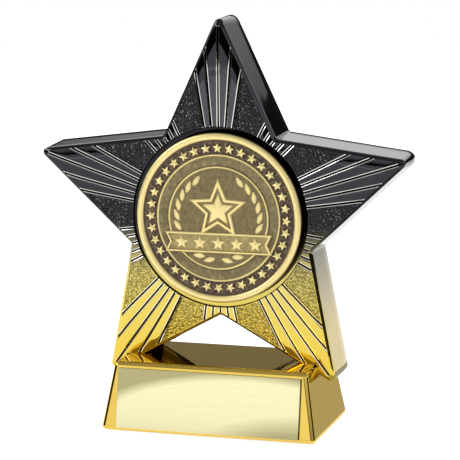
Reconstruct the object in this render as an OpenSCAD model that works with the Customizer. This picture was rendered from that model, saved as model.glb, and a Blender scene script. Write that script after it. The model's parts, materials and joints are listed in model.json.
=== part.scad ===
/* [Star] */
// Height of the star's centre above the table
star_height = 62.5; // [62:0.1:64]
// Distance from the star's centre to a sharp point of its back outline
star_point_r = 61.45; // [60:0.05:62]
// Distance from the star's centre to an inner corner of its back outline
star_corner_r = 29.9; // [29:0.05:30.5]
// Distance from the middle of the base forward to the star's face
star_face_y = 4.2; // [4:0.1:5]
// Depth of the star from its face to its back
star_depth = 14.05; // [13:0.05:15]
// Slope of the star's side walls, narrower at the front
star_draft = 3.8; // [2:0.1:4.5]
// Radius of the rounded points at the star's face
star_tip_front = 1.2; // [0.8:0.1:2]
// Radius of the rounded points at the star's back
star_tip_back = 2.6; // [2:0.1:3]
// Wall of the moulded star
star_wall = 2.2; // [1.8:0.1:2.6]
// Plastic left above the base at the foot of each leg
leg_floor = 2.5; // [2:0.1:3]

/* [Rays] */
// Bevel around the edge of the face
rim_bevel = 0.8; // [0.4:0.1:1]
// Plain edge left around the face, outside the pebbled fields
rim_w = 1.6; // [1.2:0.1:2]
// Depth of the pebbled fields between the ray sets
field_depth = 0.5; // [0.2:0.1:0.8]
// Half the angle that one set of four rays covers
ray_set_half = 10.6; // [10:0.1:12]
// Angle between neighbouring grooves of a set
ray_pitch = 4.65; // [4:0.05:4.9]
// Width of a groove between two rays
groove_w = 0.7; // [0.4:0.1:1]
// Depth of a groove between two rays
groove_depth = 0.45; // [0.2:0.05:0.8]

/* [Medallion] */
// Radius of the round centre medallion
medallion_r = 25; // [25:0.1:25.2]
// Thickness of the medallion at its rim
medallion_t = 2.4; // [2:0.1:3]
// Depth of the seat that the medallion lies in
seat_depth = 1.2; // [0.8:0.1:1.4]
// Width of the open ring around the medallion
seat_gap = 1.5; // [0.5:0.1:1.6]
// Thickness of the medallion's adhesive disc
adhesive_t = 0.4; // [0.2:0.1:0.6]
// Number of small stars around the medallion
small_stars = 36; // [24:1:40]

/* [Base] */
// Width of the base at the table
base_bottom_w = 65.4; // [65:0.1:66]
// Width of the base at its top
base_top_w = 58.5; // [58:0.1:60]
// Depth of the base at the table
base_bottom_d = 37.8; // [37:0.1:39]
// Depth of the base at its top
base_top_d = 30.2; // [30:0.1:31]
// Height of the base
base_h = 20.4; // [20:0.1:21]
// Side wall of the base
base_wall = 2; // [1.6:0.1:2.2]
// Top wall of the base
base_top_t = 2.5; // [2:0.1:3]
// Height that the base stands proud of the table on its felt pad
pad_proud = 0.4; // [0.2:0.1:0.6]
// Thickness of the felt pad
pad_t = 1.4; // [1.2:0.1:1.6]
// Thickness of the plate that closes the base
bottom_plate_t = 2; // [2:0.1:2.4]

/* [Engraving plate] */
// Width of the engraving plate
plate_w = 55.4; // [50:0.1:56]
// Height of the engraving plate, along the sloped front
plate_h = 17.6; // [12:0.1:18]
// Thickness of the engraving plate
plate_t = 0.6; // [0.4:0.1:1]
// Thickness of the tape behind the engraving plate
tape_t = 0.2; // [0.1:0.1:0.4]

/* [Weight and screws] */
// Size of the steel weight: width, depth, height
weight_size = [36, 20, 9]; // [9:1:36]
// Distance from the middle of the base to a star fixing screw
fixing_x = 26; // [25.6:0.1:26.2]
// Distance from the star's centre to a cover screw
cover_screw_r = 31; // [30:0.5:34]
// Distance from the middle to a bottom plate screw: sideways, front to back
plate_screw_at = [22, 10]; // [8:1:22]
// Distance from the middle to a weight screw
weight_screw_x = 12; // [8:1:13]

/* [Hidden] */
$fn = 96;
eps = 0.02;
far = 200;
fit_gap = 0.15;
star_back_y = star_depth - star_face_y;
point_half = atan(star_corner_r * sin(36) / (star_point_r - star_corner_r * cos(36)));
edge_r = star_point_r * sin(point_half);
seat_y = seat_depth - star_face_y;
face_inner_y = star_wall - star_face_y;
cover_t = 2.2;
cover_lap = 1;
cover_y = star_back_y - cover_t;
front_slope = atan((base_bottom_d - base_top_d) / 2 / base_h);
plate_mid = 10.25;
arc_steps = 8;
fan_at = [2.3, 1.1];

outer_ring_r = 18.5;
inner_ring_r = 15;
small_star_at = 20.6;
small_star_r = 1.5;
relief_depth = 0.8;
ring_top = medallion_t - 0.4;
emblem_star_r = 9.3;
emblem_star_z = 2.4;
wreath_r = 12.6;
banner_w = 32.6;
banner_h = 6;
banner_z = -7.3;

// Screws are [shank radius, head radius, head height, shank length]
small_screw = [1, 2.1, 1.1, 8];
fixing_screw = [1.5, 2.8, 2, 19];
weight_screw = [1.5, 2.7, 2, 10];
fixing_seat_z = 13;
washer_t = 0.5;
weight_z = 5.4;
weight_top_z = weight_z + weight_size.z;
plate_top_z = pad_t + bottom_plate_t;

// How much smaller the star's outline is at depth y and with its edges moved in by inset
function outline_k(y, inset) = 1 - (inset + (star_back_y - y) * tan(star_draft)) / edge_r;

// Radius of the rounded points at depth y
function tip_round(y) = max(0.4,
    star_tip_front + (star_tip_back - star_tip_front) * (y + star_face_y) / star_depth);

function polar(r, a) = [r * cos(a), r * sin(a)];

// The star's outline at k times its size, pointing up, with each point an arc of radius tip
function star_outline(k, tip) = [
    for (i = [0:4]) let (a = 90 + 72 * i) each concat(
        [for (s = [0:arc_steps]) let (t = (point_half - 90) + s * (180 - 2 * point_half) / arc_steps)
            polar(k * star_point_r - tip / sin(point_half), a) + polar(tip, a + t)],
        [polar(k * star_corner_r, a + 36)])];

// Solid through star outlines at several depths, front first: each section is [y, inset].
// Its flat ends fan out from a point off the centre, so that no seam runs through a corner of a
// smaller star cut into them.
module star_solid(sections) {
    n = 5 * (arc_steps + 2);
    last = n * (len(sections) - 1);
    front_mid = last + n;
    back_mid = last + n + 1;
    polyhedron(
        points = concat(
            [for (s = sections, p = star_outline(outline_k(s[0], s[1]), tip_round(s[0])))
                [p.x, s[0], star_height + p.y]],
            [for (s = [sections[0], sections[len(sections) - 1]]) [fan_at.x, s[0], star_height + fan_at.y]]),
        faces = [for (i = [0:n - 1]) let (next = (i + 1) % n) each concat(
            [[front_mid, next, i], [back_mid, last + i, last + next]],
            [for (j = [0:n:last - 1]) [j + i, j + next, j + n + next, j + n + i]])]);
}

// Tapered star between two depths, with its edges moved in by inset
module star_block(inset, y0, y1) {
    star_solid([[y0, inset], [y1, inset]]);
}

// Cylinder along the star's depth, placed from the star's centre
module depth_cylinder(r, y0, y1, at = [0, 0]) {
    translate([at.x, y1, star_height + at.y]) rotate([90, 0, 0]) cylinder(r = r, h = y1 - y0);
}

// Tapered block of the base between two heights, with its sides moved out by grow
module plinth(grow, z0, z1) {
    function half(bottom, top, z) = bottom / 2 - (bottom - top) / 2 * z / base_h + grow;
    function trapezoid(bottom, top) = let (h0 = half(bottom, top, z0), h1 = half(bottom, top, z1))
        [[-h0, z0], [h0, z0], [h1, z1], [-h1, z1]];
    intersection() {
        rotate([90, 0, 0])
            linear_extrude(height = far, center = true) polygon(trapezoid(base_bottom_w, base_top_w));
        rotate([90, 0, 90])
            linear_extrude(height = far, center = true) polygon(trapezoid(base_bottom_d, base_top_d));
    }
}

// Everything at or above a height
module above(z) {
    translate([-far / 2, -far / 2, z]) cube(far);
}

module at_cover_screws() {
    for (i = [0:4]) {
        p = polar(cover_screw_r, 90 + 72 * i);
        translate([p.x, 0, star_height + p.y]) rotate([-90, 0, 0]) children();
    }
}

module at_fixings() {
    for (side = [-1, 1]) translate([side * fixing_x, star_depth / 2 - star_face_y, 0]) children();
}

module at_plate_screws() {
    for (sx = [-1, 1], sy = [-1, 1])
        translate([sx * plate_screw_at.x, sy * plate_screw_at.y, 0]) children();
}

module at_weight_screws() {
    for (side = [-1, 1]) translate([side * weight_screw_x, 0, 0]) children();
}

// Pan-head screw, head down, shank up from z = 0, with a cross recess in its head
module screw(size) {
    cross_w = size[1] * 0.32;
    cross_l = size[1] * 1.1;
    cross_d = size[2] * 0.6;
    difference() {
        union() {
            translate([0, 0, -size[2]]) cylinder(r = size[1], h = size[2]);
            cylinder(r = size[0], h = size[3]);
        }
        for (turn = [0, 90])
            rotate(turn)
                translate([-cross_l / 2, -cross_w / 2, -size[2] - eps]) cube([cross_l, cross_w, cross_d]);
    }
}

// The pebbled fields: a wedge between each two neighbouring ray sets
module field_pockets() {
    intersection() {
        star_block(rim_w, -far / 10, field_depth - star_face_y);
        translate([0, field_depth - star_face_y, star_height])
            rotate([90, 0, 0])
                linear_extrude(height = far / 20)
                    for (i = [0:9])
                        let (a = 36 * i, inner = medallion_r + seat_gap + 1, lean = 18 - ray_set_half)
                            polygon([polar(inner, a - lean), polar(inner, a), polar(inner, a + lean),
                                polar(star_point_r, a + lean), polar(star_point_r, a - lean)]);
    }
}

// The grooves between the rays: five in each of ten sets
module ray_grooves() {
    half = groove_w / 2;
    inner = medallion_r + seat_gap + 0.6;
    intersection() {
        star_block(rim_bevel + 0.3, -far / 10, groove_depth - star_face_y + eps);
        translate([0, -star_face_y, star_height])
            rotate([90, 0, 0])
                for (i = [0:9], g = [-2:2])
                    rotate(18 + 36 * i + g * ray_pitch)
                        translate([inner, 0, 0])
                            rotate([90, 0, 90])
                                linear_extrude(height = star_point_r)
                                    polygon([[-half, 0], [0, -groove_depth], [half, 0], [0, half]]);
    }
}

module star_shell() {
    color([0.24, 0.24, 0.25])
        difference() {
            union() {
                difference() {
                    star_solid([[-star_face_y, rim_bevel], [rim_bevel - star_face_y, 0], [star_back_y, 0]]);
                    intersection() {
                        union() {
                            star_block(star_wall, face_inner_y, cover_y + eps);
                            star_block(cover_lap, cover_y, star_back_y + 1);
                        }
                        above(base_h + leg_floor);
                    }
                }
                // Wall behind the medallion's seat, and the bosses for the cover screws
                depth_cylinder(medallion_r + seat_gap + 2, face_inner_y - 1, face_inner_y + seat_depth);
                at_cover_screws()
                    translate([0, 0, face_inner_y - 1]) cylinder(r = 2.8, h = cover_y - face_inner_y + 1);
                intersection() {
                    star_block(0.8, -star_face_y + 0.5, cover_y);
                    at_fixings() translate([0, 0, base_h]) cylinder(r = 3, h = 13.5);
                }
            }
            plinth(0, -1, base_h);
            depth_cylinder(medallion_r + seat_gap, -star_face_y - 1, seat_y);
            field_pockets();
            ray_grooves();
            at_cover_screws()
                translate([0, 0, cover_y - small_screw[3] + 1]) cylinder(r = small_screw[0], h = 10);
            at_fixings() translate([0, 0, base_h - 1]) cylinder(r = fixing_screw[0], h = 13);
        }
}

module star_back_cover() {
    color([0.1, 0.1, 0.1])
        difference() {
            intersection() {
                star_block(cover_lap + fit_gap, cover_y, star_back_y);
                above(base_h + leg_floor + fit_gap);
            }
            at_cover_screws() {
                translate([0, 0, cover_y - 1]) cylinder(r = small_screw[0] + 0.3, h = 5);
                translate([0, 0, star_back_y - small_screw[2]]) cylinder(r = small_screw[1] + 0.3, h = 5);
            }
        }
}

module star_cover_screws() {
    color([0.55, 0.55, 0.57])
        at_cover_screws()
            translate([0, 0, star_back_y - small_screw[2]]) mirror([0, 0, 1]) screw(small_screw);
}

// A flat five-pointed star in the plane of the medallion
module flat_star(point_r) {
    polygon([for (i = [0:9]) polar(i % 2 == 0 ? point_r : point_r * 0.45, 90 + 36 * i)]);
}

// One side of the wreath: leaves along an arc, each turned out from it, with a gap for the banner
module wreath_side() {
    for (a = [258, 243, 192, 178, 164, 150, 136, 122])
        translate(polar(wreath_r, a))
            rotate(a - 90 + 24)
                polygon([[-1.6, 0], [-0.7, 0.75], [0.6, 0.75], [1.9, 0], [0.6, -0.75], [-0.7, -0.75]]);
}

// Raised emblem: a star within a star, a wreath, and a plain banner across the lower half
module emblem() {
    translate([0, emblem_star_z])
        difference() {
            flat_star(emblem_star_r);
            flat_star(emblem_star_r * 0.78);
        }
    translate([0, emblem_star_z]) flat_star(emblem_star_r * 0.6);
    wreath_side();
    mirror([1, 0, 0]) wreath_side();
    polygon([[-banner_w / 2, banner_z - banner_h / 2], [banner_w / 2, banner_z - banner_h / 2],
        [banner_w / 2 - 1.5, banner_z], [banner_w / 2, banner_z + banner_h / 2],
        [-banner_w / 2, banner_z + banner_h / 2], [1.5 - banner_w / 2, banner_z]]);
}

// Profile of the disc from its back to its front, with a rounded rim and two thin rings
function medallion_profile(r, t, ground) = [
    [0, 0], [r - 0.2, 0], [r, 0.4], [r, t - 0.6], [r - 0.25, t - 0.15], [r - 0.8, t],
    [r - 1.7, t - 0.1], [r - 2.1, ground],
    [outer_ring_r + 0.4, ground], [outer_ring_r + 0.2, ring_top], [outer_ring_r - 0.2, ring_top],
    [outer_ring_r - 0.4, ground + 0.1], [inner_ring_r + 0.4, ground + 0.1],
    [inner_ring_r + 0.2, ring_top], [inner_ring_r - 0.2, ring_top],
    [inner_ring_r - 0.4, ground], [0, ground]];

module medallion() {
    ground = medallion_t - relief_depth;
    color([0.62, 0.55, 0.32])
        translate([0, seat_y - adhesive_t, star_height])
            rotate([90, 0, 0]) {
                rotate_extrude() polygon(medallion_profile(medallion_r, medallion_t, ground));
                translate([0, 0, ground - 0.1])
                    linear_extrude(height = ring_top - ground + 0.1)
                        for (i = [0:small_stars - 1])
                            rotate(i * 360 / small_stars)
                                translate([0, small_star_at]) flat_star(small_star_r);
                translate([0, 0, ground - 0.1]) linear_extrude(height = relief_depth - 0.1) emblem();
            }
}

module medallion_adhesive() {
    color([0.85, 0.85, 0.8]) depth_cylinder(medallion_r - 1.5, seat_y - adhesive_t, seat_y);
}

module base_housing() {
    color([0.8, 0.62, 0.25])
        difference() {
            union() {
                difference() {
                    plinth(0, pad_proud, base_h);
                    plinth(-base_wall, -1, base_h - base_top_t);
                }
                intersection() {
                    plinth(-base_wall / 3, 1, base_h - base_top_t / 2);
                    union() {
                        at_fixings() translate([0, 0, plate_top_z]) cylinder(r = 4.6, h = base_h);
                        at_plate_screws() translate([0, 0, plate_top_z]) cylinder(r = 2.6, h = base_h);
                        at_weight_screws() translate([0, 0, weight_top_z]) cylinder(r = 3.2, h = base_h);
                    }
                }
            }
            at_fixings() {
                translate([0, 0, 1]) cylinder(r = 3.3, h = fixing_seat_z - 1);
                translate([0, 0, 1]) cylinder(r = fixing_screw[0] + 0.15, h = base_h);
            }
            at_plate_screws() translate([0, 0, 1]) cylinder(r = small_screw[0], h = 11);
            at_weight_screws() translate([0, 0, 5]) cylinder(r = weight_screw[0], h = base_h - 6);
        }
}

module base_bottom_plate() {
    color([0.16, 0.16, 0.17])
        difference() {
            plinth(-base_wall - fit_gap, pad_t, pad_t + bottom_plate_t);
            at_plate_screws() {
                cylinder(r = small_screw[0] + 0.3, h = 10);
                cylinder(r = small_screw[1] + 0.3, h = pad_t + small_screw[2]);
            }
        }
}

module bottom_plate_screws() {
    color([0.55, 0.55, 0.57])
        at_plate_screws() translate([0, 0, pad_t + small_screw[2]]) screw(small_screw);
}

module base_weight() {
    color([0.5, 0.51, 0.53])
        difference() {
            translate([-weight_size.x / 2, -weight_size.y / 2, weight_z]) cube(weight_size);
            at_weight_screws() {
                translate([0, 0, 1]) cylinder(r = weight_screw[0] + 0.2, h = base_h);
                translate([0, 0, weight_z - 1])
                    cylinder(r = weight_screw[1] + 0.3, h = weight_screw[2] + 1.2);
            }
        }
}

module weight_screws() {
    color([0.55, 0.55, 0.57])
        at_weight_screws() translate([0, 0, weight_z + weight_screw[2] + 0.2]) screw(weight_screw);
}

module star_fixing_screws() {
    color([0.55, 0.55, 0.57])
        at_fixings() translate([0, 0, fixing_seat_z - washer_t]) screw(fixing_screw);
}

module star_fixing_washers() {
    color([0.7, 0.7, 0.72])
        at_fixings()
            translate([0, 0, fixing_seat_z - washer_t])
                difference() {
                    cylinder(r = 3.1, h = washer_t);
                    translate([0, 0, -1]) cylinder(r = fixing_screw[0] + 0.1, h = washer_t + 2);
                }
}

// Sheet on the sloped front of the base, between two heights off the surface
module front_sheet(w, h, off0, off1) {
    translate([0, -base_bottom_d / 2, 0])
        rotate([-front_slope, 0, 0])
            translate([-w / 2, -off1, plate_mid - h / 2]) cube([w, off1 - off0, h]);
}

module engraving_plate() {
    color([0.93, 0.9, 0.75]) front_sheet(plate_w, plate_h, tape_t, tape_t + plate_t);
}

module engraving_plate_tape() {
    color([0.9, 0.9, 0.88]) front_sheet(plate_w - 1.6, plate_h - 1.6, 0, tape_t);
}

module felt_pad() {
    w = base_bottom_w / 2 - base_wall - 0.6;
    d = base_bottom_d / 2 - base_wall - 0.6;
    corner = 2.5;
    color([0.06, 0.06, 0.07])
        linear_extrude(height = pad_t)
            polygon([[corner - w, -d], [w - corner, -d], [w, corner - d], [w, d - corner],
                [w - corner, d], [corner - w, d], [-w, d - corner], [-w, corner - d]]);
}

star_shell();
star_back_cover();
star_cover_screws();
medallion();
medallion_adhesive();
base_housing();
base_bottom_plate();
bottom_plate_screws();
base_weight();
weight_screws();
star_fixing_screws();
star_fixing_washers();
engraving_plate();
engraving_plate_tape();
felt_pad();
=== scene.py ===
import json
import math
import bpy
import bmesh
from mathutils import Matrix, Vector, noise

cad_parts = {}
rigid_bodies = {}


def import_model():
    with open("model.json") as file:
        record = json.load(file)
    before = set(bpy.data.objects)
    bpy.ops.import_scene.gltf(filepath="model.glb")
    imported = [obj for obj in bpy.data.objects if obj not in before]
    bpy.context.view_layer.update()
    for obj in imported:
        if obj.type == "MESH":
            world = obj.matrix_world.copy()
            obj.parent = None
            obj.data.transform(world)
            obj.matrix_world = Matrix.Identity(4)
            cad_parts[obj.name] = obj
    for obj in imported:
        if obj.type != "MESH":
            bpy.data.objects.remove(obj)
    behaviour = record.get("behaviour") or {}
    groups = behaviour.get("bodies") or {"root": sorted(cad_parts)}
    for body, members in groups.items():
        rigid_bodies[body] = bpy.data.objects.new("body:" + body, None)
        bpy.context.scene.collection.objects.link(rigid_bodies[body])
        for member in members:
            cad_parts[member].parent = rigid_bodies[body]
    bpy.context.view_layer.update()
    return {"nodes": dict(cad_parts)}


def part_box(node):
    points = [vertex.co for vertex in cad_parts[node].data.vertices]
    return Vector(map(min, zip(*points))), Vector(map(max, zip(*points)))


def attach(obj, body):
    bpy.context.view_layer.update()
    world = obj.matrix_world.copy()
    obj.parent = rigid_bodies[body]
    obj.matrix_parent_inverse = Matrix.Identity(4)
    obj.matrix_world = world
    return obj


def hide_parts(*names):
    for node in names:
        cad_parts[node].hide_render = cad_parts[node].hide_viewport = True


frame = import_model()
scene = bpy.context.scene
mm = 0.001


def newNode(tree, kind, **values):
    node = tree.nodes.new(kind)
    for key, value in values.items():
        if hasattr(node, key):
            setattr(node, key, value)
        else:
            node.inputs[key.replace("_", " ")].default_value = value
    return node


def startMaterial(name):
    # an empty material with its surface shader: returns material, tree, shader
    material = bpy.data.materials.new(name)
    material.use_nodes = True
    tree = material.node_tree
    shader = tree.nodes["Principled BSDF"]
    return material, tree, shader


def objectPoint(tree, scale=(1, 1, 1), turn=(0, 0, 0)):
    # the piece's own coordinates in metres, scaled so a pattern can be stretched
    where = newNode(tree, "ShaderNodeTexCoord")
    mapping = newNode(tree, "ShaderNodeMapping")
    mapping.inputs["Scale"].default_value = scale
    mapping.inputs["Rotation"].default_value = turn
    tree.links.new(where.outputs["Object"], mapping.inputs["Vector"])
    return mapping.outputs["Vector"]


def rampNode(tree, factor, stops):
    ramp = newNode(tree, "ShaderNodeValToRGB")
    band = ramp.color_ramp
    while len(band.elements) < len(stops):
        band.elements.new(0.5)
    for element, (place, colour) in zip(band.elements, stops):
        element.position = place
        element.color = (*colour, 1)
    tree.links.new(factor, ramp.inputs["Fac"])
    return ramp.outputs["Color"]


def noiseNode(tree, vector, scale, detail=3.0, rough=0.5):
    texture = newNode(tree, "ShaderNodeTexNoise", Scale=scale, Detail=detail, Roughness=rough)
    tree.links.new(vector, texture.inputs["Vector"])
    return texture.outputs["Fac"]


def cellNode(tree, vector, scale):
    texture = newNode(tree, "ShaderNodeTexVoronoi", Scale=scale)
    tree.links.new(vector, texture.inputs["Vector"])
    return texture.outputs["Distance"]


def rangeNode(tree, value, low, high, newLow, newHigh):
    node = newNode(tree, "ShaderNodeMapRange")
    for key, number in zip(("From Min", "From Max", "To Min", "To Max"), (low, high, newLow, newHigh)):
        node.inputs[key].default_value = number
    tree.links.new(value, node.inputs["Value"])
    return node.outputs["Result"]


def mathNode(tree, operation, first, second):
    node = newNode(tree, "ShaderNodeMath", operation=operation)
    for socket, value in zip(node.inputs, (first, second)):
        if isinstance(value, (int, float)):
            socket.default_value = value
        else:
            tree.links.new(value, socket)
    return node.outputs["Value"]


def bumpNode(tree, height, strength, distance, under=None):
    bump = newNode(tree, "ShaderNodeBump", Strength=strength, Distance=distance)
    tree.links.new(height, bump.inputs["Height"])
    if under is not None:
        tree.links.new(under, bump.inputs["Normal"])
    return bump.outputs["Normal"]


def axisOf(tree, vector, axis):
    split = newNode(tree, "ShaderNodeSeparateXYZ")
    tree.links.new(vector, split.inputs["Vector"])
    return split.outputs[axis]


def makePiece(name, bm, materials, nodes, smoothAngle=32, recalc=True):
    # merges, turns faces outwards, makes the object and lets it stand for its CAD nodes
    bmesh.ops.remove_doubles(bm, verts=bm.verts, dist=2e-6)
    bmesh.ops.dissolve_degenerate(bm, edges=bm.edges, dist=1e-6)
    if recalc:
        bmesh.ops.recalc_face_normals(bm, faces=bm.faces)
    mesh = bpy.data.meshes.new(name)
    bm.to_mesh(mesh)
    bm.free()
    for material in materials:
        mesh.materials.append(material)
    piece = bpy.data.objects.new(name, mesh)
    scene.collection.objects.link(piece)
    shadeSmooth(piece, smoothAngle)
    if nodes:
        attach(piece, "root")
        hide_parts(*nodes)
    return piece


def shadeSmooth(piece, smoothAngle):
    for face in piece.data.polygons:
        face.use_smooth = True
    piece.data.set_sharp_from_angle(angle=math.radians(smoothAngle))


def flattenShading(piece):
    # large faces keep their own direction; only the narrow rounded edges are blended
    weighted = piece.modifiers.new("flatFaces", "WEIGHTED_NORMAL")
    weighted.keep_sharp = True


def applyCut(piece, tool, operation="DIFFERENCE"):
    # cuts one closed mesh with another and keeps the result as the piece's mesh
    cut = piece.modifiers.new("cut", "BOOLEAN")
    cut.operation = operation
    cut.solver = "MANIFOLD"
    cut.object = tool
    bpy.context.view_layer.update()
    ready = piece.evaluated_get(bpy.context.evaluated_depsgraph_get())
    result = bpy.data.meshes.new_from_object(ready)
    piece.modifiers.clear()
    piece.data = result
    bpy.data.objects.remove(tool)


def looseTool(name, bm):
    # a plain closed mesh that only cuts other pieces
    return makePiece(name, bm, [], None)


def fromCad(node):
    # a merged copy of a CAD node's mesh, with its flat faces made whole
    bm = bmesh.new()
    bm.from_mesh(frame["nodes"][node].data)
    bmesh.ops.remove_doubles(bm, verts=bm.verts, dist=1e-6)
    bmesh.ops.dissolve_limit(bm, angle_limit=math.radians(0.5), verts=bm.verts, edges=bm.edges)
    return bm


def softEdges(bm, width, segments=2):
    # rounds every edge that turns more than 30 degrees
    edges = [e for e in bm.edges if e.is_manifold and e.calc_face_angle(0) > math.radians(30)]
    bmesh.ops.bevel(bm, geom=edges, offset=width, segments=segments, profile=0.5, affect="EDGES",
                    material=-1, clamp_overlap=True)


shot = {
    "place": (0.19101, -0.61115, 0.17232),
    "aim": (0.00178, 0.00055, 0.05815),
    "roll": -0.52,       # degrees
    "lens": 173.68,      # mm on a 36 mm sensor
}


def makeCamera():
    camera = bpy.data.objects.new("camera", bpy.data.cameras.new("camera"))
    camera.data.lens = shot["lens"]
    camera.data.sensor_width = 36
    camera.data.clip_start = 0.01
    ahead = (Vector(shot["aim"]) - Vector(shot["place"])).normalized()
    right = ahead.cross(Vector((0, 0, 1))).normalized()
    up = right.cross(ahead)
    roll = math.radians(shot["roll"])
    rolledRight = right * math.cos(roll) + up * math.sin(roll)
    rolledUp = up * math.cos(roll) - right * math.sin(roll)
    turn = Matrix((rolledRight, rolledUp, -ahead)).transposed().to_4x4()
    camera.matrix_world = Matrix.Translation(shot["place"]) @ turn
    scene.collection.objects.link(camera)
    scene.camera = camera


studio = {
    "floorRadius": 1.1,
    "floorMiddle": (0.03, 0.095, 0),    # the front edge of the table is 1 m away
    "floorGlow": 0.72,                  # it is a light table
    # how bright the room is at each height, from straight down to straight up
    "room": ((0.0, 0.02), (0.572, 0.03), (0.586, 0.42), (0.60, 0.6), (0.612, 0.9),
             (0.63, 1.3), (0.68, 1.9), (0.70, 1.5), (0.725, 0.45), (1.0, 0.5)),
    # name, place, aim, size across and up, brightness
    "boxes": (
        ("sideBox", (-0.95, -0.55, 0.80), (0, 0, 0.05), (0.5, 0.5), 7),
        ("frontCard", (-0.13, -0.40, 0.065), (0, 0, 0.065), (0.22, 0.08), 1.35),
    ),
    # cards that only show in mirror reflections: name, place, size across and up, turn about x, glow. The
    # two lying on the floor are painted shadow: dim sheets where the trophy's shadow would fall
    "cards": (
        ("backCard", (-0.045, 0.15, 0.056), (0.13, 0.042), 90, 0.19),
        ("rightCard", (0.215, 0.46, 0.125), (0.23, 0.14), 90, 0.0),
        ("lowShadowCard", (-0.02, 0.062, 0.002), (0.08, 0.05), 0, 0.01),
        ("sideShadowCard", (0.082, 0.04, 0.0015), (0.098, 0.15), 0, 0.55),
    ),
}


def makeStudio():
    world = bpy.data.worlds.new("studio")
    scene.world = world
    world.use_nodes = True
    tree = world.node_tree
    tree.nodes.clear()
    where = newNode(tree, "ShaderNodeTexCoord")
    height = rangeNode(tree, axisOf(tree, where.outputs["Generated"], "Z"), -1, 1, 0, 1)
    wall = rampNode(tree, height, [(place, (shade,) * 3) for place, shade in studio["room"]])
    seen = newNode(tree, "ShaderNodeBackground")
    lit = newNode(tree, "ShaderNodeBackground")
    tree.links.new(wall, lit.inputs["Color"])
    seen.inputs["Color"].default_value = (1, 1, 1, 1)
    ray = newNode(tree, "ShaderNodeLightPath")
    mix = newNode(tree, "ShaderNodeMixShader")
    out = newNode(tree, "ShaderNodeOutputWorld")
    tree.links.new(ray.outputs["Is Camera Ray"], mix.inputs[0])
    tree.links.new(lit.outputs[0], mix.inputs[1])
    tree.links.new(seen.outputs[0], mix.inputs[2])
    tree.links.new(mix.outputs[0], out.inputs["Surface"])

    for name, place, aim, size, brightness in studio["boxes"]:
        light = bpy.data.lights.new(name, "AREA")
        light.shape = "RECTANGLE"
        light.size, light.size_y = size
        light.energy = brightness * size[0] * size[1] * math.pi
        box = bpy.data.objects.new(name, light)
        box.location = place
        box.rotation_euler = (Vector(place) - Vector(aim)).to_track_quat("Z", "Y").to_euler()
        box.visible_camera = False
        scene.collection.objects.link(box)

    bm = bmesh.new()
    bmesh.ops.create_circle(bm, cap_ends=True, segments=96, radius=studio["floorRadius"])
    mesh = bpy.data.meshes.new("floor")
    bm.to_mesh(mesh)
    bm.free()
    floor = bpy.data.objects.new("floor", mesh)
    floor.location = studio["floorMiddle"]
    scene.collection.objects.link(floor)
    material, tree, shader = startMaterial("palePaper")
    grain = noiseNode(tree, objectPoint(tree), 900)
    tree.links.new(rampNode(tree, grain, [(0.3, (0.9, 0.9, 0.9)), (0.7, (0.94, 0.94, 0.93))]),
                   shader.inputs["Base Color"])
    shader.inputs["Roughness"].default_value = 0.9
    shader.inputs["Emission Color"].default_value = (1, 1, 1, 1)
    shader.inputs["Emission Strength"].default_value = studio["floorGlow"]
    mesh.materials.append(material)

    for name, place, size, turn, glow in studio["cards"]:
        paper, tree, shader = startMaterial(name + "Paper")
        grain = noiseNode(tree, objectPoint(tree), 400)
        tree.links.new(rampNode(tree, grain, [(0.3, (0.01,) * 3), (0.7, (0.02,) * 3)]),
                       shader.inputs["Base Color"])
        shader.inputs["Roughness"].default_value = 0.9
        shader.inputs["Emission Color"].default_value = (1, 1, 1, 1)
        shader.inputs["Emission Strength"].default_value = glow
        bm = bmesh.new()
        bmesh.ops.create_grid(bm, x_segments=1, y_segments=1, size=0.5)
        bmesh.ops.scale(bm, vec=(size[0], size[1], 1), verts=bm.verts)
        mesh = bpy.data.meshes.new(name)
        bm.to_mesh(mesh)
        bm.free()
        mesh.materials.append(paper)
        card = bpy.data.objects.new(name, mesh)
        card.location = place
        card.rotation_euler.x = math.radians(turn)
        for kind in ("camera", "diffuse", "shadow", "transmission"):
            setattr(card, "visible_" + kind, False)
        scene.collection.objects.link(card)
    scene.view_settings.view_transform = "Standard"


makeCamera()
makeStudio()
print("camera, lights and floor are set")


fade = {       # heights are in metres
    "blackFrom": 0.061,    # black from this height up
    "goldTop": 0.022,      # below this height the face is full gold
    "face": ((0.0, (0.62, 0.455, 0.065)), (0.4, (0.59, 0.47, 0.10)), (0.6, (0.55, 0.46, 0.135)),
             (0.7, (0.38, 0.33, 0.12)), (0.8, (0.18, 0.165, 0.08)), (0.9, (0.08, 0.076, 0.05)),
             (1.0, (0.032, 0.033, 0.037))),
    "wallGoldTop": 0.030,  # the sides fade over a longer stretch, and are paler: a painted reflection
    "side": ((0.0, (0.46, 0.375, 0.17)), (0.35, (0.33, 0.28, 0.165)), (0.65, (0.17, 0.155, 0.11)),
             (0.85, (0.085, 0.08, 0.065)), (1.0, (0.032, 0.033, 0.037))),
}


def fadeColour(tree, goldTop, colours):
    # plating colour by height on the star, with a slightly cloudy edge
    point = objectPoint(tree)
    height = axisOf(tree, point, "Z")
    cloud = rangeNode(tree, noiseNode(tree, point, 60, 2), 0.3, 0.7, -0.0012, 0.0012)
    level = rangeNode(tree, mathNode(tree, "ADD", height, cloud), goldTop, fade["blackFrom"], 0, 1)
    return rampNode(tree, level, colours)


def blend(tree, factor, first, second):
    # mixes two colours, each a plain colour or another node's output
    mix = newNode(tree, "ShaderNodeMix", data_type="RGBA")
    for number, value in ((0, factor), (6, first), (7, second)):
        if isinstance(value, float):
            mix.inputs[number].default_value = value
        elif isinstance(value, tuple):
            mix.inputs[number].default_value = (*value, 1)
        else:
            tree.links.new(value, mix.inputs[number])
    return mix.outputs[2]


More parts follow.
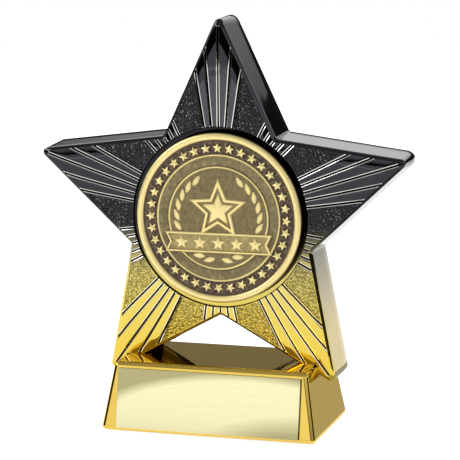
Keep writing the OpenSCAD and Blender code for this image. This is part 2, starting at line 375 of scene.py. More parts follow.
def makeStarPlating(name, pebble):
    # plating that fades in colour, with painted highlights on the edges of the rays and painted shade down
    # between them, a paler painted reflection on the sides, and painted glints and shade in the pebbled
    # field
    material, tree, shader = startMaterial(name)
    point = objectPoint(tree)
    groove = newNode(tree, "ShaderNodeAttribute", attribute_name="groove").outputs["Fac"]
    # the sides take their own paler fade, a painted reflection
    wall = rangeNode(tree, groove, 0, -0.5, 0, 1)      # the sides are marked with -1
    plating = blend(tree, wall, fadeColour(tree, fade["goldTop"], fade["face"]),
                    fadeColour(tree, fade["wallGoldTop"], fade["side"]))
    haze = noiseNode(tree, point, 450, 4, 0.6)
    if pebble:
        grains = cellNode(tree, point, 1350)
        # painted glints: bright specks on the pebble tops, in patches
        paintedGlint = rangeNode(tree, grains, 0.1, 0.24, 1, 0)
        # painted shade in the hollows between the pebbles
        hollow = rangeNode(tree, grains, 0.3, 0.6, 0, 0.5)
        patches = rangeNode(tree, noiseNode(tree, point, 320, 2), 0.34, 0.58, 0, 0.5)
        patchyPaintedGlint = mathNode(tree, "MULTIPLY", paintedGlint, patches)
        plating = blend(tree, hollow, plating, (0.012, 0.011, 0.008))
        plating = blend(tree, patchyPaintedGlint, plating, (0.82, 0.82, 0.80))
        tree.links.new(rangeNode(tree, haze, 0.3, 0.7, 0.08, 0.16), shader.inputs["Roughness"])
        fine = noiseNode(tree, point, 4200, 2)
        coarse = bumpNode(tree, grains, 1.0, 0.0003)
        tree.links.new(bumpNode(tree, fine, 0.8, 0.0001, coarse), shader.inputs["Normal"])
    else:
        tree.links.new(rangeNode(tree, haze, 0.3, 0.7, 0.03, 0.06), shader.inputs["Roughness"])
        ripple = noiseNode(tree, point, 160, 2)
        tree.links.new(bumpNode(tree, ripple, 0.25, 0.0001), shader.inputs["Normal"])
    # painted highlight: a pale colour along the lips of the grooves
    lip = rampNode(tree, groove, [(0.0, (0, 0, 0)), (0.02, (1, 1, 1)), (0.20, (1, 1, 1)),
                                  (0.28, (0, 0, 0))])
    lip = mathNode(tree, "MULTIPLY", axisOf(tree, lip, "X"), 0.7)
    plating = blend(tree, lip, plating, (0.95, 0.94, 0.88))
    # painted shade: near black in the groove bottoms and wherever the shade attribute is set, on the seat
    # and under the arch
    shade = newNode(tree, "ShaderNodeAttribute", attribute_name="shade").outputs["Fac"]
    dark = mathNode(tree, "MAXIMUM", rangeNode(tree, groove, 0.3, 0.6, 0, 1), shade)
    plating = blend(tree, dark, plating, (0.008, 0.007, 0.005))
    tree.links.new(plating, shader.inputs["Base Color"])
    shader.inputs["Metallic"].default_value = 1.0
    return material


def makeGoldPlating():
    material, tree, shader = startMaterial("mirrorGold")
    point = objectPoint(tree)
    cloud = noiseNode(tree, point, 35, 3)
    tree.links.new(rampNode(tree, cloud, [(0.3, (0.62, 0.43, 0.08)), (0.7, (0.66, 0.47, 0.10))]),
                   shader.inputs["Base Color"])
    shader.inputs["Metallic"].default_value = 1.0
    shader.inputs["Specular Tint"].default_value = (1.0, 0.93, 0.72, 1)
    haze = noiseNode(tree, point, 500, 4, 0.6)
    tree.links.new(rangeNode(tree, haze, 0.3, 0.7, 0.025, 0.05), shader.inputs["Roughness"])
    ripple = noiseNode(tree, point, 90, 2)
    tree.links.new(bumpNode(tree, ripple, 0.2, 0.00012), shader.inputs["Normal"])
    return material


def makeAntiqueGold():
    # dark patina in the low ground, rubbed bright on whatever stands proud
    material, tree, shader = startMaterial("antiqueGold")
    point = objectPoint(tree)
    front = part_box("medallion")[0].y
    depth = axisOf(tree, point, "Y")
    cloud = rangeNode(tree, noiseNode(tree, point, 900, 4), 0.3, 0.7, -0.06, 0.06)
    level = mathNode(tree, "ADD", rangeNode(tree, depth, front + 0.00086, front + 0.0003, 0, 1), cloud)
    tree.links.new(rampNode(tree, level, [(0.0, (0.07, 0.045, 0.04)), (0.18, (0.12, 0.09, 0.06)),
                                          (0.29, (0.19, 0.155, 0.08)), (0.44, (0.42, 0.34, 0.145)),
                                          (0.9, (0.74, 0.61, 0.27))]),
                   shader.inputs["Base Color"])
    shader.inputs["Metallic"].default_value = 0.85
    tree.links.new(rangeNode(tree, level, 0, 1, 0.55, 0.36), shader.inputs["Roughness"])
    stipple = noiseNode(tree, point, 2800, 3)
    tree.links.new(bumpNode(tree, stipple, 0.6, 0.00006), shader.inputs["Normal"])
    return material


def roundPatch(tree, middle, size, inner, outer):
    # 0 to 1 from the inner to the outer edge of a soft oval, seen from the front
    reach = newNode(tree, "ShaderNodeVectorMath", operation="LENGTH")
    scale = (1 / size[0], 0, 1 / size[1])
    oval = newNode(tree, "ShaderNodeMapping")
    oval.inputs["Location"].default_value = (-middle[0] * scale[0], 0, -middle[1] * scale[2])
    oval.inputs["Scale"].default_value = scale
    tree.links.new(objectPoint(tree), oval.inputs["Vector"])
    tree.links.new(oval.outputs["Vector"], reach.inputs[0])
    return rangeNode(tree, reach.outputs["Value"], inner, outer, 0, 1)


def makePlateMetal():
    # pale champagne sheet, brushed along its length, with painted reflections as darker soft ovals in two
    # opposite corners
    material, tree, shader = startMaterial("brushedPlate")
    strokes = noiseNode(tree, objectPoint(tree, scale=(60, 2600, 2600)), 1.0, 4, 0.6)
    sheet = rampNode(tree, strokes, [(0.3, (0.70, 0.65, 0.385)), (0.7, (0.75, 0.70, 0.42))])
    # painted reflections: two darker soft ovals on the sheet
    upperPaintedReflection = roundPatch(tree, (0.012, 0.0), (0.05, 0.0185), 0.92, 1.04)
    lowerPaintedReflection = roundPatch(tree, (0.03, -0.007), (0.038, 0.0155), 1.0, 0.65)
    sheet = blend(tree, upperPaintedReflection, sheet, (0.36, 0.325, 0.165))
    tree.links.new(blend(tree, lowerPaintedReflection, sheet, (0.40, 0.36, 0.18)), shader.inputs["Base Color"])
    shader.inputs["Metallic"].default_value = 1.0
    shader.inputs["Anisotropic"].default_value = 0.4
    tree.links.new(rangeNode(tree, strokes, 0.3, 0.7, 0.10, 0.16), shader.inputs["Roughness"])
    tree.links.new(bumpNode(tree, strokes, 0.08, 0.00003), shader.inputs["Normal"])
    return material


def makeBlackPlastic():
    material, tree, shader = startMaterial("mouldedBlack")
    point = objectPoint(tree)
    grain = cellNode(tree, point, 1800)
    tree.links.new(rampNode(tree, noiseNode(tree, point, 70, 3), [(0.3, (0.035, 0.035, 0.037)),
                                                                  (0.7, (0.050, 0.050, 0.052))]),
                   shader.inputs["Base Color"])
    tree.links.new(rangeNode(tree, grain, 0, 1, 0.36, 0.5), shader.inputs["Roughness"])
    tree.links.new(bumpNode(tree, grain, 0.35, 0.00006), shader.inputs["Normal"])
    return material


def makeSteel(name, light, dark, stretch, rough):
    material, tree, shader = startMaterial(name)
    marks = noiseNode(tree, objectPoint(tree, scale=stretch), 1.0, 4, 0.6)
    tree.links.new(rampNode(tree, marks, [(0.3, dark), (0.7, light)]), shader.inputs["Base Color"])
    shader.inputs["Metallic"].default_value = 1.0
    tree.links.new(rangeNode(tree, marks, 0.3, 0.7, rough, rough + 0.15), shader.inputs["Roughness"])
    tree.links.new(bumpNode(tree, marks, 0.2, 0.00004), shader.inputs["Normal"])
    return material


def makeSoft(name, light, dark, scale, depth):
    # felt fibres or foam cells
    material, tree, shader = startMaterial(name)
    point = objectPoint(tree)
    fibres = noiseNode(tree, objectPoint(tree, scale=(scale, scale * 0.25, scale)), 1.0, 6, 0.7)
    tree.links.new(rampNode(tree, fibres, [(0.25, dark), (0.75, light)]), shader.inputs["Base Color"])
    shader.inputs["Roughness"].default_value = 0.95
    shader.inputs["Sheen Weight"].default_value = 0.3
    lumps = cellNode(tree, point, scale * 0.4)
    low = bumpNode(tree, lumps, 0.4, depth)
    tree.links.new(bumpNode(tree, fibres, 0.6, depth, low), shader.inputs["Normal"])
    return material


platingSmooth = makeStarPlating("starPlating", False)
platingPebble = makeStarPlating("starPebble", True)
mirrorGold = makeGoldPlating()
antiqueGold = makeAntiqueGold()
brushedPlate = makePlateMetal()
mouldedBlack = makeBlackPlastic()
screwSteel = makeSteel("zincScrew", (0.62, 0.62, 0.64), (0.45, 0.45, 0.47), (900, 900, 900), 0.25)
weightSteel = makeSteel("milledSteel", (0.50, 0.51, 0.53), (0.33, 0.34, 0.36), (80, 1500, 1500), 0.35)
adhesiveFoam = makeSoft("whiteFoam", (0.80, 0.80, 0.76), (0.62, 0.62, 0.58), 2500, 0.00008)
feltCloth = makeSoft("blackFelt", (0.035, 0.035, 0.04), (0.008, 0.008, 0.01), 4200, 0.00012)
print("finishes are made")


discLow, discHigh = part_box("medallion")
shellLow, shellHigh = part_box("star_shell")
starMid = Vector(((discLow.x + discHigh.x) / 2, 0, (discLow.z + discHigh.z) / 2))

star = {                      # millimetres and degrees
    "pointAngle": 50.5,       # between the two edges of a point
    "tipFront": 1.2,          # rounding of the points at the face
    "tipBack": 2.6,           # and at the back
    "cornerRound": 1.2,       # in the notches between the points
    "draft": 3.8,
    "seatRadius": 26.5,
    "seatFloor": -3.0,        # y of the medallion's seat
    "lip": 0.35,              # rounding at the edge of the seat
    "bevel": 0.8,
    "crown": 0.15,            # the middle of the face stands this much proud of its rim
    "pillow": 0.42,           # the face drops this much towards the edge
    "pillowWidth": 3.2,
    "grooveHalf": 0.5,
    "grooveDepth": 0.5,
    "armGrooves": (0, 4.65, 9.25),
    "notchGrooves": (26.75, 31.35, 36),
    "fieldDepth": 0.32,
    "pebble": 0.10,
    "pebbleSize": 0.6,
    "fieldColumns": 28,
    "faceRows": 54,
    "backRound": 0.5,
    "flatShares": (0.1, 0.5, 0.9),      # rows on the seat and on the back, as shares of the way out
    "lipRows": (0, 0.03, 0.1, 0.2, 0.35),
    "edgeRows": (0.3, 0.55, 0.75, 0.9, 1.0),    # rows close together at the end of the face
    # rounded edge of the face, as shares of the bevel: how far in, how far back
    "bevelRows": ((0.93, 0.01), (0.84, 0.06), (0.16, 0.72), (0.05, 0.86), (0.0, 1.05)),
    "sideRows": (-2.0, 0.0, 3.0, 6.0),  # y of the rows down the side
    "plainRows": (12, 18),    # rows that aren't pebbled, from the seat's middle and from the back's
    "coverLap": 1.0,          # the back cover lies in a step this wide
    "coverDepth": 2.2,
    "wall": 2.2,
    "legFloor": 2.5,
    "bossRadius": 2.8,        # plastic round each cover screw
}
starFace = shellLow.y / mm
starBack = shellHigh.y / mm
pointHalf = math.radians(star["pointAngle"] / 2)
edgeNormal = math.pi / 2 - pointHalf      # from an arm's middle line to the square of its edge
# to where a point would end if it were sharp
pointReach = (shellHigh.z - starMid.z) / mm + star["tipBack"] * (1 / math.sin(pointHalf) - 1)
edgeDistance = pointReach * math.sin(pointHalf)


def tipRound(y):
    share = (y - starFace) / (starBack - starFace)
    return max(0.4, star["tipFront"] + (star["tipBack"] - star["tipFront"]) * share)


def outlineSize(y, inset=0.0):
    # how much smaller the outline is at depth y, moved in by inset
    return 1 - (inset + (starBack - y) * math.tan(math.radians(star["draft"]))) / edgeDistance


def outlineReach(angle, size, tip):
    # from the centre to the star's outline, at an angle off an arm's middle line (radians)
    angle = abs((angle + math.pi / 5) % (math.tau / 5) - math.pi / 5)
    arcAt = pointReach * size - tip / math.sin(pointHalf)
    arcEnd = math.atan2(tip * math.sin(edgeNormal), arcAt + tip * math.cos(edgeNormal))
    if angle < arcEnd:
        return arcAt * math.cos(angle) + math.sqrt(tip ** 2 - (arcAt * math.sin(angle)) ** 2)
    notchTurn = edgeNormal - math.pi / 5
    fillet = star["cornerRound"]
    filletAt = (edgeDistance * size + fillet) / math.cos(notchTurn)
    filletEnd = math.atan2(fillet * math.sin(notchTurn), filletAt - fillet * math.cos(notchTurn))
    fromNotch = math.pi / 5 - angle
    if fromNotch < filletEnd:
        sag = math.sqrt(fillet ** 2 - (filletAt * math.sin(fromNotch)) ** 2)
        return filletAt * math.cos(fromNotch) - sag
    return edgeDistance * size / math.cos(angle - edgeNormal)


def starColumns():
    # half of a sector, from an arm's middle line to a notch: [angle, sideways, groove, field]
    half = star["grooveHalf"]
    lip = ((0, 1.0), (0.16, 0.92), (0.46, 0.34), (0.54, 0.23), (0.62, 0.16), (0.88, 0.03), (1, 0.0))
    cut = [(-side, depth) for side, depth in reversed(lip[1:])] + list(lip)
    columns = []

    def groove(angle, start=-1, end=1):
        for side, depth in cut:
            if start <= side <= end:
                columns.append([angle, side * half, depth, 0.0])

    def between(angleA, angleB, count, field=0.0):
        for step in range(1, count):
            s = step / count
            columns.append([angleA + s * (angleB - angleA), half * (1 - 2 * s), 0.0, field])

    arm, notch = star["armGrooves"], star["notchGrooves"]
    groove(arm[0], start=0)
    between(arm[0], arm[1], 8)
    groove(arm[1])
    between(arm[1], arm[2], 4)
    groove(arm[2])
    between(arm[2], notch[0], star["fieldColumns"], 1.0)
    groove(notch[0])
    between(notch[0], notch[1], 3)
    groove(notch[1])
    between(notch[1], notch[2], 3)
    groove(notch[2], end=0)
    return columns


def stepUp(value, start, end):
    s = min(1, max(0, (value - start) / (end - start)))
    return s * s * (3 - 2 * s)


def faceDepth(column, radius, edgeRadius, x, z):
    # how far behind the highest part of the face a point lies, in mm
    groove, field = column[2:]
    fromEdge = edgeDistance * outlineSize(starFace, star["bevel"]) * (1 - radius / edgeRadius)
    fromSeat = radius - star["seatRadius"]
    drop = star["pillow"] * max(0, 1 - fromEdge / star["pillowWidth"]) ** 2
    runOut = stepUp(fromEdge, -0.25, 0.12)
    drop += groove * star["grooveDepth"] * runOut
    if field:
        bumps = noise.noise(Vector((x, 0, z)) / star["pebbleSize"])
        bumps += 0.5 * noise.noise(Vector((x, 7, z)) / star["pebbleSize"] * 2)
        drop += star["fieldDepth"] * stepUp(fromEdge, 0.0, 0.5)
        drop += star["pebble"] * bumps * runOut
    if fromSeat < star["lip"]:
        drop += star["lip"] - math.sqrt(star["lip"] ** 2 - (star["lip"] - fromSeat) ** 2)
    return drop, groove * runOut


def starRow(column, armAngle, side):
    # one line of points from the middle of the seat, over the face and the side, to the middle of the back
    angle, sideways = column[:2]
    direction = math.radians(armAngle + side * angle)
    along = Vector((math.cos(direction), 0, math.sin(direction)))
    across = Vector((-math.sin(direction), 0, math.cos(direction))) * side * sideways

    def onOutline(y, inset=0.0):
        size, tip = outlineSize(y, inset), tipRound(y)
        reach = outlineReach(math.radians(angle), size, tip)
        for _ in range(4):
            reach = outlineReach(math.radians(angle) + math.atan2(sideways, reach), size, tip)
        return math.sqrt(reach ** 2 - sideways ** 2)

    def place(radius, y, spread=1.0):
        p = along * radius + across * spread
        return Vector((p.x * mm, y * mm, p.z * mm + starMid.z))

    high = starFace - star["crown"]
    rim = high + star["pillow"]
    seat = math.sqrt(star["seatRadius"] ** 2 - sideways ** 2)
    edge = onOutline(starFace, star["bevel"])
    points = [place(seat * share, star["seatFloor"], share) for share in star["flatShares"]]
    points += [place(seat - 0.2, star["seatFloor"]), place(seat - 0.05, star["seatFloor"] - 0.05),
               place(seat, star["seatFloor"] - 0.2)]
    radii = [seat + row for row in star["lipRows"]]
    start, end = seat + 0.45, edge - min(0.75, (edge - seat) * 0.45)
    radii += [start + (end - start) * row / star["faceRows"] for row in range(star["faceRows"] + 1)]
    radii += [end + (edge - end) * row for row in star["edgeRows"]]
    # the seat gets painted shade in the black part
    shades = [0.6 * stepUp(point.z, 0.046, 0.056) for point in points]
    cuts = [0.0] * len(points)
    for radius in radii:
        p = along * radius + across
        depth, cut = faceDepth(column, math.hypot(radius, sideways), math.hypot(edge, sideways), p.x, p.z)
        points.append(place(radius, high + depth))
        cuts.append(cut)
    bevel = star["bevel"]
    for inset, y in star["bevelRows"]:
        points.append(place(onOutline(rim + y * bevel, inset * bevel), rim + y * bevel))
    backRound = star["backRound"]
    for y in (*star["sideRows"], starBack - backRound):
        points.append(place(onOutline(y), y))
    for turn in (30, 60, 90):
        inset = backRound * (1 - math.cos(math.radians(turn)))
        y = starBack - backRound * (1 - math.sin(math.radians(turn)))
        points.append(place(onOutline(y, inset), y))
    for share in reversed(star["flatShares"]):
        points.append(place(onOutline(starBack, 1) * share, starBack, share))
    # the sides are marked with -1, and the underside of the arch between the legs gets painted shade
    bevelEnd = len(cuts) + len(star["bevelRows"])
    cuts += [0.0] * (bevelEnd - len(cuts)) + [-1.0] * (len(points) - bevelEnd)
    darkFrom = bevelEnd + 2
    shades += [0.0] * (darkFrom - len(shades))
    underArch = (armAngle, side) in ((234, 1), (306, -1))
    shades += [0.8 if underArch else 0.0] * (len(points) - darkFrom)
    return points, cuts, shades


def makeStarBody():
    columns = starColumns()
    fromMiddle, fromBack = star["plainRows"]
    bm = bmesh.new()
    grooveLayer = bm.verts.layers.float.new("groove")
    shadeLayer = bm.verts.layers.float.new("shade")
    for arm in range(5):
        for side in (1, -1):
            lines = [starRow(column, 90 + 72 * arm, side) for column in columns]
            across, along = len(columns), len(lines[0][0])
            grid = bmesh.ops.create_grid(bm, x_segments=along - 1, y_segments=across - 1, size=1)["verts"]
            for i, vert in enumerate(grid):
                points, cuts, shades = lines[i // along]
                vert.co = points[i % along]
                vert[grooveLayer] = cuts[i % along]
                vert[shadeLayer] = shades[i % along]
                if columns[i // along][3] > 0 and fromMiddle <= i % along < along - fromBack:
                    for face in vert.link_faces:
                        face.material_index = 1
    bmesh.ops.remove_doubles(bm, verts=bm.verts, dist=3e-6)
    # close the small holes left at the middle of the seat and of the back
    openEdges = [e for e in bm.edges if e.is_boundary]
    bmesh.ops.holes_fill(bm, edges=openEdges, sides=0)
    return bm


def starPrism(inset, front, back):
    # a plain tapered star between two depths, used to hollow the body
    bm = bmesh.new()
    rings = []
    for y in (front, back):
        ring = []
        for step in range(120):
            angle = math.tau * step / 120
            reach = outlineReach(angle - math.pi / 2, outlineSize(y, inset), tipRound(y))
            ring.append(bm.verts.new((reach * math.cos(angle) * mm, y * mm,
                                      starMid.z + reach * math.sin(angle) * mm)))
        rings.append(ring)
    loops = [[bm.edges.new((ring[i], ring[i - 1])) for i in range(len(ring))] for ring in rings]
    bmesh.ops.bridge_loops(bm, edges=loops[0] + loops[1])
    for ring in rings:
        bm.faces.new(ring)
    bmesh.ops.recalc_face_normals(bm, faces=bm.faces)
    return bm


def slopedBlock(bottom, top, low, high):
    # block whose half sizes are bottom at its foot and top at its head
    bm = bmesh.new()
    bmesh.ops.create_cube(bm, size=2)
    for vert in bm.verts:
        size = top if vert.co.z > 0 else bottom
        vert.co = Vector((vert.co.x * size[0], vert.co.y * size[1], high if vert.co.z > 0 else low))
    return bm


def cylinderTool(name, x, z, radius, front, back):
    bm = bmesh.new()
    bmesh.ops.create_cone(bm, cap_ends=True, segments=32, radius1=radius, radius2=radius,
                          depth=back - front)
    bmesh.ops.rotate(bm, matrix=Matrix.Rotation(math.pi / 2, 3, "X"), verts=bm.verts)
    bmesh.ops.translate(bm, vec=(x, (front + back) / 2, z), verts=bm.verts)
    return looseTool(name, bm)


baseLow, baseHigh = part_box("base_housing")
baseTop = [v.co for v in frame["nodes"]["base_housing"].data.vertices if v.co.z > baseHigh.z - 1e-5]
topHalf = (max(c.x for c in baseTop), max(c.y for c in baseTop))
slope = tuple((baseHigh[i] - topHalf[i]) / (baseHigh.z - baseLow.z) for i in (0, 1))


def baseHalf(z, grow=0.0):
    return tuple(topHalf[i] + slope[i] * (baseHigh.z - z) + grow for i in (0, 1))


def makeStar():
    finishes = [platingSmooth, platingPebble]
    body = makePiece("starShell", makeStarBody(), finishes, ["star_shell"], smoothAngle=38)
    print("star body:", len(body.data.polygons), "faces")
    coverAt = starBack - star["coverDepth"]
    applyCut(body, looseTool("coverStep", starPrism(star["coverLap"], coverAt, starBack + 1)))
    hollow = looseTool("hollow", starPrism(star["wall"], starFace + star["wall"], coverAt + 0.5))
    foot = baseHigh.z + star["legFloor"] * mm
    legs = slopedBlock((0.2, 0.2), (0.2, 0.2), -0.2, foot)     # far larger than the star: only its top cuts
    applyCut(hollow, looseTool("legs", legs))
    behindSeat = cylinderTool("behindSeat", 0, starMid.z, (star["seatRadius"] + 2) * mm,
                              (starFace + star["wall"] - 1) * mm, (star["seatFloor"] + star["wall"]) * mm)
    applyCut(hollow, behindSeat)
    screws = [v.co for v in frame["nodes"]["star_cover_screws"].data.vertices]
    for arm in range(5):
        direction = math.radians(90 + 72 * arm)
        aim = Vector((math.cos(direction), 0, math.sin(direction)))
        near = [c for c in screws if (c - starMid).dot(aim) > 0.8 * (c - starMid).length]
        x = (min(c.x for c in near) + max(c.x for c in near)) / 2
        z = (min(c.z for c in near) + max(c.z for c in near)) / 2
        applyCut(hollow, cylinderTool("boss", x, z, star["bossRadius"] * mm, (starFace + 1) * mm,
                                      coverAt * mm))
    applyCut(body, hollow)
    # the legs are notched over the base
    notch = slopedBlock(baseHalf(-0.001), baseHalf(baseHigh.z), -0.001, baseHigh.z)
    applyCut(body, looseTool("notch", notch))
    shadeSmooth(body, 38)
    print("star shell:", len(body.data.polygons), "faces")


makeStar()


base = {"round": 1.3, "segments": 5, "skin": 0.002}   # mm


def makeBase():
    skin = base["skin"] * mm
    bm = slopedBlock(baseHalf(baseLow.z, -skin), baseHalf(baseHigh.z, -skin),
                     baseLow.z + skin, baseHigh.z - skin)
    bmesh.ops.bevel(bm, geom=bm.edges[:], offset=base["round"] * mm, segments=base["segments"],
                    profile=0.5, affect="EDGES", material=-1)
    piece = makePiece("baseHousing", bm, [mirrorGold], ["base_housing"], smoothAngle=40)
    inside = fromCad("base_housing")
    bmesh.ops.triangulate(inside, faces=inside.faces)
    applyCut(piece, makePiece("insideShape", inside, [], None, recalc=False), "INTERSECT")
    shadeSmooth(piece, 40)
    flattenShading(piece)
    print("base housing:", len(piece.data.polygons), "faces")


makeBase()

plateEdge = {"round": 0.12, "segments": 2}   # mm


def makePlate():
    bm = fromCad("engraving_plate")
    softEdges(bm, plateEdge["round"] * mm, plateEdge["segments"])
    flattenShading(makePiece("engravingPlate", bm, [brushedPlate], ["engraving_plate"]))


makePlate()
print("base and plate are done")


disc = {                     # millimetres, seen from the front
    "thick": 2.4,
    "ground": 1.6,           # height of the low ground above the back
    "ringTop": 2.0,
    "outerRing": 18.5,
    "innerRing": 15.0,
    "steps": 360,
    "stars": 36,
    "starAt": 20.6,
    "starRadius": 1.5,
    "starWaist": 0.45,       # inner corners of every star, as a share of its radius
    "sunk": 0.15,            # raised parts start this far below the ground
    "checkPitch": 0.65,
    "bigStar": 9.3,
    "bigStarUp": 2.4,
    "wreath": 12.6,
    "leaf": (1.95, 0.8),     # half its length and half its width
    "leafTurn": 66,          # degrees that a leaf leans from the wreath
    "leafAngles": (258, 243, 192, 178, 164, 150, 136, 122),
    "banner": (32.6, 6.0, -7.3),     # width, height, place below the middle
    "bannerStars": 5,
    "bannerStarGap": 5.6,
    "bannerStarRadius": 2.1,
}


def spinProfile(bm, profile, steps):
    verts = [bm.verts.new((r, 0, z)) for r, z in profile]
    edges = [bm.edges.new(pair) for pair in zip(verts, verts[1:])]
    bmesh.ops.spin(bm, geom=verts + edges, cent=(0, 0, 0), axis=(0, 0, 1), angle=math.tau, steps=steps,
                   use_merge=True)


def flatStar(bm, radius, x, y):
    # a flat five-pointed star with a point straight up; returns its face
    made = bmesh.ops.create_circle(bm, cap_ends=True, segments=10, radius=radius)["verts"]
    first = math.atan2(made[0].co.y, made[0].co.x)
    for vert in made[1::2]:
        vert.co *= disc["starWaist"]
    bmesh.ops.rotate(bm, matrix=Matrix.Rotation(math.pi / 2 - first, 3, "Z"), verts=made)
    bmesh.ops.translate(bm, vec=(x, y, 0), verts=made)
    return made[0].link_faces[0]


def raiseFace(bm, face, low, high, bevel=0.0):
    # turns a flat face into a closed block between two heights, with a bevelled top edge
    bmesh.ops.translate(bm, vec=(0, 0, low), verts=face.verts)
    made = bmesh.ops.extrude_face_region(bm, geom=[face], use_keep_orig=True)["geom"]
    top = [f for f in made if isinstance(f, bmesh.types.BMFace)][0]
    bmesh.ops.translate(bm, vec=(0, 0, high - low - bevel), verts=top.verts)
    if bevel:
        bmesh.ops.inset_region(bm, faces=[top], thickness=bevel, depth=0, use_even_offset=True)
        bmesh.ops.translate(bm, vec=(0, 0, bevel), verts=top.verts)
    return top


def pokeUp(bm, face, rise):
    # lifts the middle of a face into a point
    tip = bmesh.ops.poke(bm, faces=[face])["verts"]
    bmesh.ops.translate(bm, vec=(0, 0, rise), verts=tip)


def underBanner(point):
    # on the ground that the banner covers
    width, height, drop = disc["banner"]
    return point.z > 0.5 and abs(point.x) < width / 2 - 0.9 and abs(point.y - drop) < height / 2 - 0.25


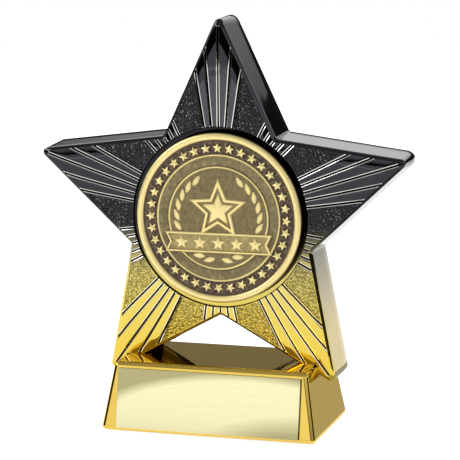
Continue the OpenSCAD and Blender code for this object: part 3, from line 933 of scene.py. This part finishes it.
def makeMedallion():
    ground, ringTop, thick = disc["ground"], disc["ringTop"], disc["thick"]
    outer, inner = disc["outerRing"], disc["innerRing"]
    foot = ground - disc["sunk"]
    radius = (discHigh.x - discLow.x) / 2 / mm
    bm = bmesh.new()
    profile = [(0, 0), (radius - 0.3, 0), (radius - 0.08, 0.1), (radius, 0.3)]
    for turn in range(0, 181, 15):       # rounded rim
        a = math.radians(turn)
        profile.append((radius - 1.05 + 1.05 * math.cos(a), thick - 0.75 + 0.75 * math.sin(a)))
    profile.append((radius - 2.15, ground))
    stipple = [radius - 2.3 - 0.25 * i for i in range(16)]
    profile += [(r, ground) for r in stipple if r > outer + 0.5]
    for ring in (outer, inner):
        profile += [(ring + 0.42, ground), (ring + 0.26, ringTop - 0.1), (ring + 0.14, ringTop),
                    (ring - 0.14, ringTop), (ring - 0.26, ringTop - 0.1), (ring - 0.42, ground + 0.1)]
        if ring == outer:
            profile += [(inner + 0.6, ground + 0.1)]
    profile += [(inner - 0.5, ground - 0.05), (0, ground - 0.05)]
    spinProfile(bm, profile, disc["steps"])
    for vert in bm.verts:
        r = math.hypot(vert.co.x, vert.co.y)
        if outer + 0.5 < r < radius - 2.2 and abs(vert.co.z - ground) < 0.01:
            vert.co.z += 0.17 * noise.noise(vert.co * 2.2) + 0.1 * noise.noise(vert.co * 4.5)
        if underBanner(vert.co):
            vert.co.z = min(vert.co.z, ground - 0.05)

    # fine diamond pattern in the middle
    pitch = disc["checkPitch"] / 2
    count = int(inner / pitch)
    cells = bmesh.ops.create_grid(bm, x_segments=2 * count, y_segments=2 * count,
                                  size=count * pitch)["verts"]
    for vert in cells:
        column, row = round(vert.co.x / pitch), round(vert.co.y / pitch)
        raised = (column + row) % 2 == 0 and not underBanner(vert.co)
        vert.co.z = ground - 0.08 + (0.32 if raised else 0.0)
    outside = [v for v in cells if math.hypot(v.co.x, v.co.y) > inner]
    bmesh.ops.delete(bm, geom=outside, context="VERTS")
    patch = [f for v in cells if v.is_valid for f in v.link_faces]
    made = bmesh.ops.extrude_face_region(bm, geom=list(set(patch)), use_keep_orig=True)["geom"]
    for vert in made:
        if isinstance(vert, bmesh.types.BMVert):
            vert.co.z = ground - 0.3

    # ring of small stars
    for i in range(disc["stars"]):
        angle = math.tau * i / disc["stars"]
        face = flatStar(bm, disc["starRadius"], 0, disc["starAt"])
        bmesh.ops.rotate(bm, matrix=Matrix.Rotation(angle, 3, "Z"), verts=face.verts)
        pokeUp(bm, raiseFace(bm, face, foot, ringTop + 0.02), 0.3)

    # star in the middle: a frame with a star inside it
    up = disc["bigStarUp"]
    face = flatStar(bm, disc["bigStar"], 0, up)
    top = raiseFace(bm, face, foot, ringTop + 0.3, 0.3)
    bmesh.ops.inset_region(bm, faces=[top], thickness=0.6, depth=0, use_even_offset=True)
    bmesh.ops.inset_region(bm, faces=[top], thickness=0.25, depth=-0.6, use_even_offset=True)
    face = flatStar(bm, disc["bigStar"] * 0.52, 0, up)
    pokeUp(bm, raiseFace(bm, face, ground, ringTop - 0.05), 0.5)

    # wreath of leaves on both sides
    length, breadth = disc["leaf"]
    wreath = Vector((disc["wreath"], 0, 0))
    for side in (1, -1):
        for leaf in disc["leafAngles"]:
            made = bmesh.ops.create_circle(bm, cap_ends=True, segments=10, radius=1)["verts"]
            for vert in made:
                vert.co.x *= length * (1 if vert.co.x > 0 else 0.85)
                vert.co.y *= breadth * (1 - 0.25 * abs(vert.co.x) / length)
            lean = math.radians(leaf - disc["leafTurn"])
            bmesh.ops.rotate(bm, matrix=Matrix.Rotation(lean, 3, "Z"), verts=made)
            stem = Matrix.Rotation(math.radians(leaf), 3, "Z") @ wreath
            bmesh.ops.translate(bm, vec=stem, verts=made)
            for vert in made:
                vert.co.x *= side
            pokeUp(bm, raiseFace(bm, made[0].link_faces[0], foot, ringTop - 0.1), 0.2)

    # plain banner with swallow-tail ends and a row of stars
    width, height, drop = disc["banner"]
    corners = [(-width / 2, -height / 2), (width / 2, -height / 2), (width / 2 - 1.5, 0),
               (width / 2, height / 2), (-width / 2, height / 2), (1.5 - width / 2, 0)]
    face = bm.faces.new([bm.verts.new((x, y + drop, 0)) for x, y in corners])
    top = raiseFace(bm, face, foot, ringTop + 0.25, 0.22)
    bmesh.ops.inset_region(bm, faces=[top], thickness=0.35, depth=0, use_even_offset=True)
    bmesh.ops.inset_region(bm, faces=[top], thickness=0.16, depth=-0.5, use_even_offset=True)
    for i in range(disc["bannerStars"]):
        x = (i - (disc["bannerStars"] - 1) / 2) * disc["bannerStarGap"]
        face = flatStar(bm, disc["bannerStarRadius"], x, drop - 0.1)
        pokeUp(bm, raiseFace(bm, face, ground, ringTop + 0.05), 0.3)

    bmesh.ops.recalc_face_normals(bm, faces=bm.faces)
    bmesh.ops.scale(bm, vec=(mm, mm, mm), verts=bm.verts)
    bmesh.ops.rotate(bm, matrix=Matrix.Rotation(math.pi / 2, 3, "X"), verts=bm.verts)
    bmesh.ops.translate(bm, vec=(starMid.x, discHigh.y, starMid.z), verts=bm.verts)
    piece = makePiece("medallion", bm, [antiqueGold], ["medallion"], recalc=False)
    print("medallion:", len(piece.data.polygons), "faces")


makeMedallion()


smallPieces = {      # CAD node: name, finish, slot, edge rounding in mm
    "star_back_cover": ("starBackCover", mouldedBlack, "back_plastic", 0.25),
    "star_cover_screws": ("starCoverScrews", screwSteel, "screw_steel", 0.15),
    "base_bottom_plate": ("baseBottomPlate", mouldedBlack, "back_plastic", 0.25),
    "bottom_plate_screws": ("bottomPlateScrews", screwSteel, "screw_steel", 0.15),
    "base_weight": ("baseWeight", weightSteel, "weight_steel", 0.4),
    "weight_screws": ("weightScrews", screwSteel, "screw_steel", 0.15),
    "star_fixing_screws": ("starFixingScrews", screwSteel, "screw_steel", 0.15),
    "star_fixing_washers": ("starFixingWashers", screwSteel, "screw_steel", 0.06),
    "felt_pad": ("feltPad", feltCloth, "felt", 0.3),
    "medallion_adhesive": ("medallionAdhesive", adhesiveFoam, "adhesive_foam", 0.08),
    "engraving_plate_tape": ("engravingPlateTape", adhesiveFoam, "adhesive_foam", 0.04),
}

for node, (name, finish, slot, edge) in smallPieces.items():
    bm = fromCad(node)
    softEdges(bm, edge * mm)
    flattenShading(makePiece(name, bm, [finish], [node], recalc=False))
print("hidden pieces are done")
